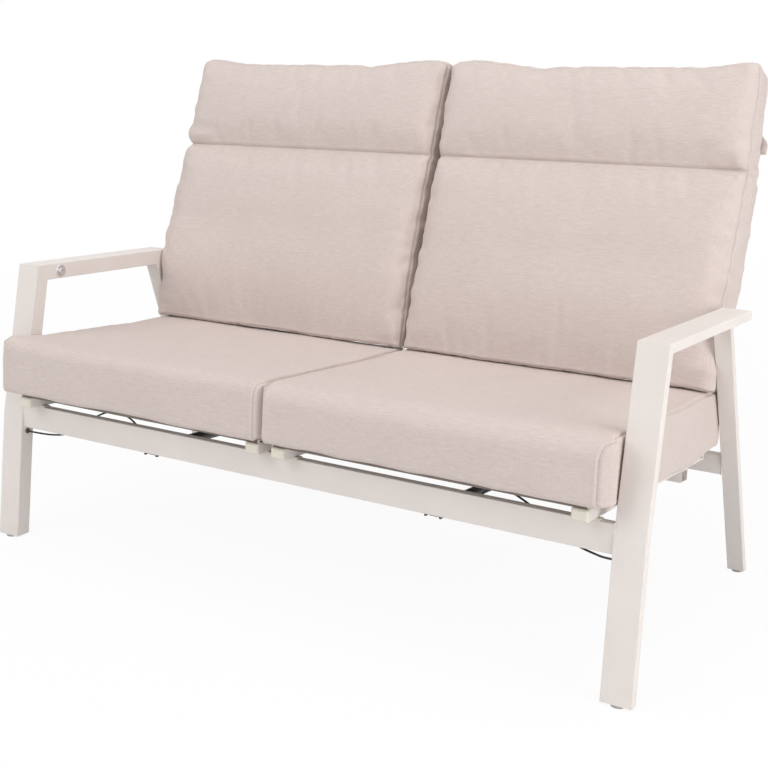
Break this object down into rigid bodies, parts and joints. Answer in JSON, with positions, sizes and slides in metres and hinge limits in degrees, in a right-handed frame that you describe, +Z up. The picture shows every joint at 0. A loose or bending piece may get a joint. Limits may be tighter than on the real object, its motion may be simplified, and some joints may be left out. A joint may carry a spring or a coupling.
{
  "type": "patio loveseat",
  "caption": "Wide garden seat with loose cushions, slim splayed frame, reclining backs and seats that slide forward as the backs lean, released by a button in each arm",
  "frame": {"origin": "middle of the footprint, at floor level", "axes": "+X to the right seen from the front, +Y to the back, +Z up"},
  "size_m": [1.56, 0.8294, 1.0554],
  "materials": {
    "powder_coat": "warm off-white fine-texture powder coat",
    "ivory_plastic": "ivory matte moulded plastic",
    "dark_plastic": "dark grey matte plastic",
    "black_steel": "black satin coat",
    "zinc": "zinc-plated steel",
    "chrome": "bright chrome",
    "black_rubber": "black matte jacket",
    "cushion_fabric": "light beige melange woven polyester",
    "mesh_fabric": "taupe coated mesh",
    "rod_steel": "ground piston rod"
  },
  "bodies": {
    "frame": {"front_post_right": "powder_coat", "front_post_left": "powder_coat", "arm_right": "powder_coat", "arm_left": "powder_coat", "rear_leg_right": "powder_coat", "rear_leg_left": "powder_coat", "front_rail": "powder_coat", "rear_rail": "powder_coat", "arm_end_caps": "powder_coat", "recline_brackets": "powder_coat", "slide_pads": "ivory_plastic", "foot_glides": "dark_plastic", "cable_grommets": "dark_plastic", "spring_brackets": "black_steel", "spring_cylinders": "black_steel", "release_heads": "black_steel", "bracket_screws": "zinc", "pivot_pins": "zinc", "spring_bracket_screws": "zinc", "spring_front_pins": "zinc", "button_coils": "zinc", "button_housings": "chrome", "release_cable_right": "black_rubber", "release_cable_left": "black_rubber"},
    "seat_right": {"seat_side_rails_right": "powder_coat", "seat_rail_caps_right": "ivory_plastic", "seat_bars_right": "powder_coat", "spring_cross_tube_right": "powder_coat", "spring_rod_right": "rod_steel", "spring_rear_pin_right": "zinc", "seat_sling_right": "mesh_fabric", "seat_cushion_right": "cushion_fabric"},
    "back_right": {"back_uprights_right": "powder_coat", "back_tubes_right": "powder_coat", "hinge_plates_right": "powder_coat", "hinge_bolts_right": "zinc", "back_sling_right": "mesh_fabric", "back_cushion_right": "cushion_fabric", "head_hood_right": "cushion_fabric"},
    "push_button_right": {"button_right": "chrome"},
    "lever_right": {"release_lever_right": "black_steel"},
    "seat_left": {"seat_side_rails_left": "powder_coat", "seat_rail_caps_left": "ivory_plastic", "seat_bars_left": "powder_coat", "spring_cross_tube_left": "powder_coat", "spring_rod_left": "rod_steel", "spring_rear_pin_left": "zinc", "seat_sling_left": "mesh_fabric", "seat_cushion_left": "cushion_fabric"},
    "back_left": {"back_uprights_left": "powder_coat", "back_tubes_left": "powder_coat", "hinge_plates_left": "powder_coat", "hinge_bolts_left": "zinc", "back_sling_left": "mesh_fabric", "back_cushion_left": "cushion_fabric", "head_hood_left": "cushion_fabric"},
    "push_button_left": {"button_left": "chrome"},
    "lever_left": {"release_lever_left": "black_steel"}
  },
  "joints": [
    {"name": "back_recline_right", "type": "hinge", "parent": "frame", "child": "back_right", "pos_m": [0.3515, 0.14922, 0.36472], "axis": [-1, 0, 0], "range_deg": [0, 30]},
    {"name": "seat_slide_right", "type": "slide", "parent": "frame", "child": "seat_right", "axis": [0, -0.996, 0.0889], "range_m": [0, 0.04451]},
    {"name": "button_press_right", "type": "slide", "parent": "frame", "child": "push_button_right", "axis": [1, 0, 0], "range_m": [0, 0.0035], "stiffness_N_per_m": 400, "springref_m": -0.002},
    {"name": "lever_turn_right", "type": "hinge", "parent": "frame", "child": "lever_right", "pos_m": [0.3515, -0.32504, 0.2724], "axis": [0, -0.0889, -0.996], "range_deg": [0, 10.1]},
    {"name": "back_recline_left", "type": "hinge", "parent": "frame", "child": "back_left", "pos_m": [-0.3515, 0.14922, 0.36472], "axis": [-1, 0, 0], "range_deg": [0, 30]},
    {"name": "seat_slide_left", "type": "slide", "parent": "frame", "child": "seat_left", "axis": [0, -0.996, 0.0889], "range_m": [0, 0.04451]},
    {"name": "button_press_left", "type": "slide", "parent": "frame", "child": "push_button_left", "axis": [-1, 0, 0], "range_m": [0, 0.0035], "stiffness_N_per_m": 400, "springref_m": -0.002},
    {"name": "lever_turn_left", "type": "hinge", "parent": "frame", "child": "lever_left", "pos_m": [-0.3515, -0.32504, 0.2724], "axis": [0, 0.0889, 0.996], "range_deg": [0, 10.1]}
  ],
  "couplings": [
    {"joint": "seat_slide_right", "follows": "back_recline_right", "m_per_rad": 0.085},
    {"joint": "lever_turn_right", "follows": "button_press_right", "rad_per_m": 50},
    {"joint": "seat_slide_left", "follows": "back_recline_left", "m_per_rad": 0.085},
    {"joint": "lever_turn_left", "follows": "button_press_left", "rad_per_m": 50}
  ]
}
